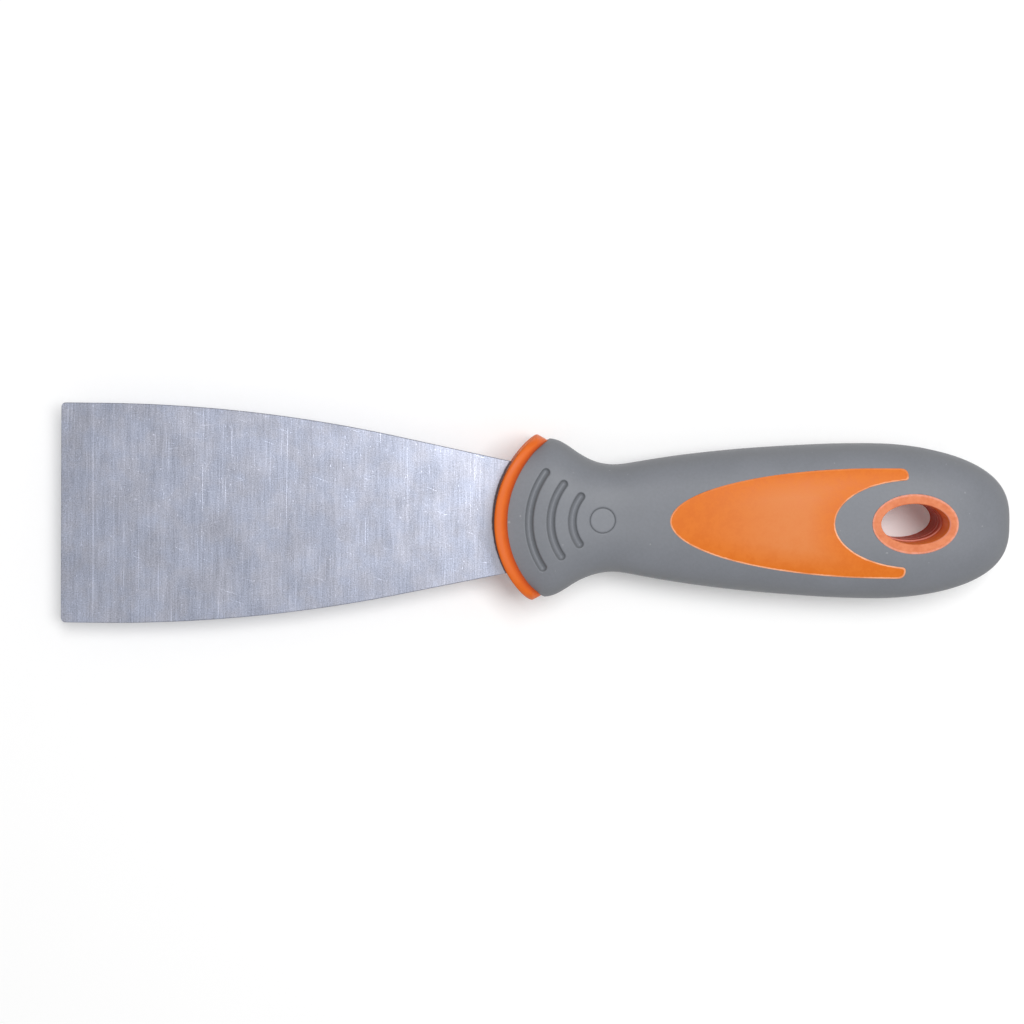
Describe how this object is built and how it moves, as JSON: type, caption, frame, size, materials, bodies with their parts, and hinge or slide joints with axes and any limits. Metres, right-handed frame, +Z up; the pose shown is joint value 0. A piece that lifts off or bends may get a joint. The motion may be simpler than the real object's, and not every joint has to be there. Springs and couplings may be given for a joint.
{
  "type": "flexible putty knife",
  "caption": "Flexible putty knife: flared thin steel blade with a straight edge, an arched front collar, and a waisted two-tone handle with thumb grooves and an oval hang hole.",
  "frame": {"origin": "under the middle of the knife's bounding box, on the surface that it lies on", "axes": "+X runs from the blade's working edge to the end of the handle, +Y across the blade, +Z up, square to the blade's face"},
  "size_m": [0.2152, 0.05, 0.021],
  "materials": {
    "blade_steel": "thin spring steel, ground across its width, with fine wear scratches",
    "collar_plastic": "moulded orange polypropylene, semi-matt",
    "core_plastic": "moulded orange polypropylene, semi-matt, with a paler worn hang ring",
    "grip_rubber": "soft grey thermoplastic rubber, matt",
    "rivet_steel": "zinc-plated steel",
    "plug_rubber": "grey thermoplastic rubber, matt"
  },
  "bodies": {
    "handle": {"blade_tang": "blade_steel", "collar": "collar_plastic", "core_top": "core_plastic", "core_bottom": "core_plastic", "grip": "grip_rubber", "tang_rivet": "rivet_steel", "rivet_plug_top": "plug_rubber", "rivet_plug_bottom": "plug_rubber"},
    "blade_1": {"blade_flex_1": "blade_steel"},
    "blade_2": {"blade_flex_2": "blade_steel"},
    "blade_3": {"blade_flex_3": "blade_steel"},
    "blade_4": {"blade_tip": "blade_steel"}
  },
  "joints": [
    {"name": "blade_flex", "type": "hinge", "parent": "handle", "child": "blade_1", "pos_m": [-0.018, 0, 0.0105], "axis": [0, 1, 0], "range_deg": [-13, 13], "stiffness_Nm_per_rad": 10},
    {"name": "blade_flex_b", "type": "hinge", "parent": "blade_1", "child": "blade_2", "pos_m": [-0.04, 0, 0.0105], "axis": [0, 1, 0], "range_deg": [-8.9, 8.9]},
    {"name": "blade_flex_c", "type": "hinge", "parent": "blade_2", "child": "blade_3", "pos_m": [-0.062, 0, 0.0105], "axis": [0, 1, 0], "range_deg": [-5.1, 5.1]},
    {"name": "blade_flex_d", "type": "hinge", "parent": "blade_3", "child": "blade_4", "pos_m": [-0.084, 0, 0.0105], "axis": [0, 1, 0], "range_deg": [-2.9, 2.9]}
  ],
  "couplings": [
    {"joint": "blade_flex_b", "follows": "blade_flex", "ratio": 0.68},
    {"joint": "blade_flex_c", "follows": "blade_flex", "ratio": 0.39},
    {"joint": "blade_flex_d", "follows": "blade_flex", "ratio": 0.22}
  ]
}
